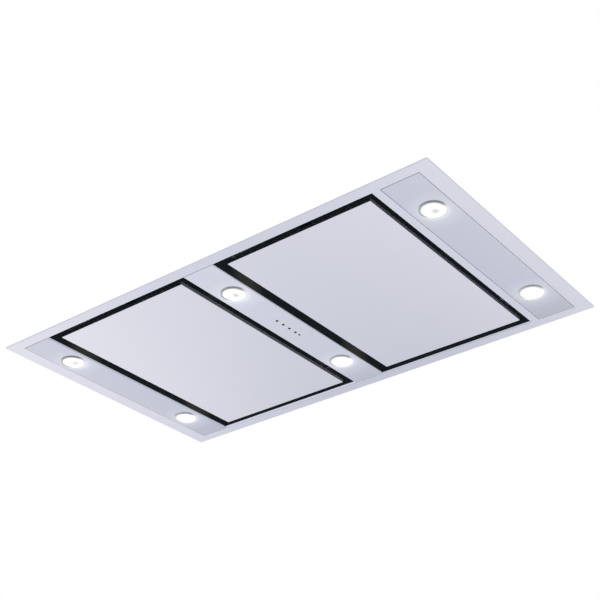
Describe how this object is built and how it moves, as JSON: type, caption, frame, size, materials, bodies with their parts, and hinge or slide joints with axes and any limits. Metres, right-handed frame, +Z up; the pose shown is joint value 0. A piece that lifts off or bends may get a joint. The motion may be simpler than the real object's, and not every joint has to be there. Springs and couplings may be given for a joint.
{
  "type": "ceiling range hood",
  "caption": "Flush ceiling range hood: flat flange, hinged suction panels, downlights, push buttons, grease filters, blower housing and duct collar.",
  "frame": {"origin": "centre of the plane where the flange's folded edge meets the ceiling", "axes": "+Z up into the ceiling, +X along the long side towards the plate with its own flange opening, +Y across"},
  "size_m": [1.2, 0.7, 0.3601],
  "materials": {
    "satin_steel": "satin brushed stainless steel",
    "galvanised": "galvanised sheet, faint spangle",
    "black_coat": "matt black coating",
    "zinc_steel": "zinc plated",
    "aluminium": "mill aluminium",
    "chrome": "polished ring",
    "lamp_glass": "frosted, lit",
    "black_plastic": "moulded",
    "grey_plastic": "moulded",
    "magnet": "sintered",
    "board_green": "solder mask"
  },
  "bodies": {
    "housing": {"flange_frame": "satin_steel", "light_strip_left": "satin_steel", "control_strip": "satin_steel", "light_plate_right": "satin_steel", "lamp_bezels": "chrome", "lamp_lenses": "lamp_glass", "lamp_bodies": "aluminium", "lamp_clips": "zinc_steel", "intake_collar_left": "black_coat", "intake_collar_right": "black_coat", "hinge_hangers": "black_coat", "hinge_pins": "zinc_steel", "catch_brackets": "black_coat", "catch_magnets": "magnet", "filter_frame_1": "aluminium", "filter_mesh_1": "aluminium", "filter_frame_2": "aluminium", "filter_mesh_2": "aluminium", "filter_frame_3": "aluminium", "filter_mesh_3": "aluminium", "filter_frame_4": "aluminium", "filter_mesh_4": "aluminium", "control_board": "board_green", "indicator_lens": "black_plastic", "housing_front": "galvanised", "housing_rear": "galvanised", "housing_left": "galvanised", "housing_right": "galvanised", "housing_top": "galvanised", "cover_screws": "zinc_steel", "hanger_brackets": "galvanised", "scroll_half_left": "galvanised", "scroll_half_right": "galvanised", "motor": "black_coat", "motor_bracket": "galvanised", "outlet_collar": "grey_plastic", "flap_pin": "zinc_steel", "electrical_box": "galvanised", "electrical_lid": "galvanised", "cable_gland": "black_plastic"},
    "panel_left": {"panel_left_skin": "satin_steel", "panel_left_backing": "galvanised", "panel_left_arms": "black_coat", "panel_left_keepers": "zinc_steel"},
    "panel_right": {"panel_right_skin": "satin_steel", "panel_right_backing": "galvanised", "panel_right_arms": "black_coat", "panel_right_keepers": "zinc_steel"},
    "button_1": {"push_button_1": "black_plastic"},
    "button_2": {"push_button_2": "black_plastic"},
    "button_3": {"push_button_3": "black_plastic"},
    "button_4": {"push_button_4": "black_plastic"},
    "latch_1": {"filter_latch_1": "zinc_steel"},
    "latch_2": {"filter_latch_2": "zinc_steel"},
    "latch_3": {"filter_latch_3": "zinc_steel"},
    "latch_4": {"filter_latch_4": "zinc_steel"},
    "fan": {"impeller": "aluminium", "motor_shaft": "zinc_steel"},
    "flap_left": {"outlet_flap_left": "grey_plastic"},
    "flap_right": {"outlet_flap_right": "grey_plastic"}
  },
  "joints": [
    {"name": "panel_left_hinge", "type": "hinge", "parent": "housing", "child": "panel_left", "pos_m": [-0.4426, 0, 0.015], "axis": [0, 1, 0], "range_deg": [0, 90]},
    {"name": "panel_right_hinge", "type": "hinge", "parent": "housing", "child": "panel_right", "pos_m": [0.4219, 0, 0.015], "axis": [0, -1, 0], "range_deg": [0, 90]},
    {"name": "button_1_press", "type": "slide", "parent": "housing", "child": "button_1", "axis": [0, 0, 1], "range_m": [0, 0.001], "stiffness_N_per_m": 300, "springref_m": -0.002},
    {"name": "button_2_press", "type": "slide", "parent": "housing", "child": "button_2", "axis": [0, 0, 1], "range_m": [0, 0.001], "stiffness_N_per_m": 300, "springref_m": -0.002},
    {"name": "button_3_press", "type": "slide", "parent": "housing", "child": "button_3", "axis": [0, 0, 1], "range_m": [0, 0.001], "stiffness_N_per_m": 300, "springref_m": -0.002},
    {"name": "button_4_press", "type": "slide", "parent": "housing", "child": "button_4", "axis": [0, 0, 1], "range_m": [0, 0.001], "stiffness_N_per_m": 300, "springref_m": -0.002},
    {"name": "latch_1_slide", "type": "slide", "parent": "housing", "child": "latch_1", "axis": [0, 1, 0], "range_m": [0, 0.005], "stiffness_N_per_m": 250, "springref_m": -0.004},
    {"name": "latch_2_slide", "type": "slide", "parent": "housing", "child": "latch_2", "axis": [0, 1, 0], "range_m": [0, 0.005], "stiffness_N_per_m": 250, "springref_m": -0.004},
    {"name": "latch_3_slide", "type": "slide", "parent": "housing", "child": "latch_3", "axis": [0, 1, 0], "range_m": [0, 0.005], "stiffness_N_per_m": 250, "springref_m": -0.004},
    {"name": "latch_4_slide", "type": "slide", "parent": "housing", "child": "latch_4", "axis": [0, 1, 0], "range_m": [0, 0.005], "stiffness_N_per_m": 250, "springref_m": -0.004},
    {"name": "fan_spin", "type": "hinge", "parent": "housing", "child": "fan", "pos_m": [0, -0.066, 0.1752], "axis": [1, 0, 0], "continuous": true},
    {"name": "flap_left_hinge", "type": "hinge", "parent": "housing", "child": "flap_left", "pos_m": [0, 0, 0.33395], "axis": [0, 1, 0], "range_deg": [0, 75]},
    {"name": "flap_right_hinge", "type": "hinge", "parent": "housing", "child": "flap_right", "pos_m": [0, 0, 0.33395], "axis": [0, -1, 0], "range_deg": [0, 75]}
  ]
}
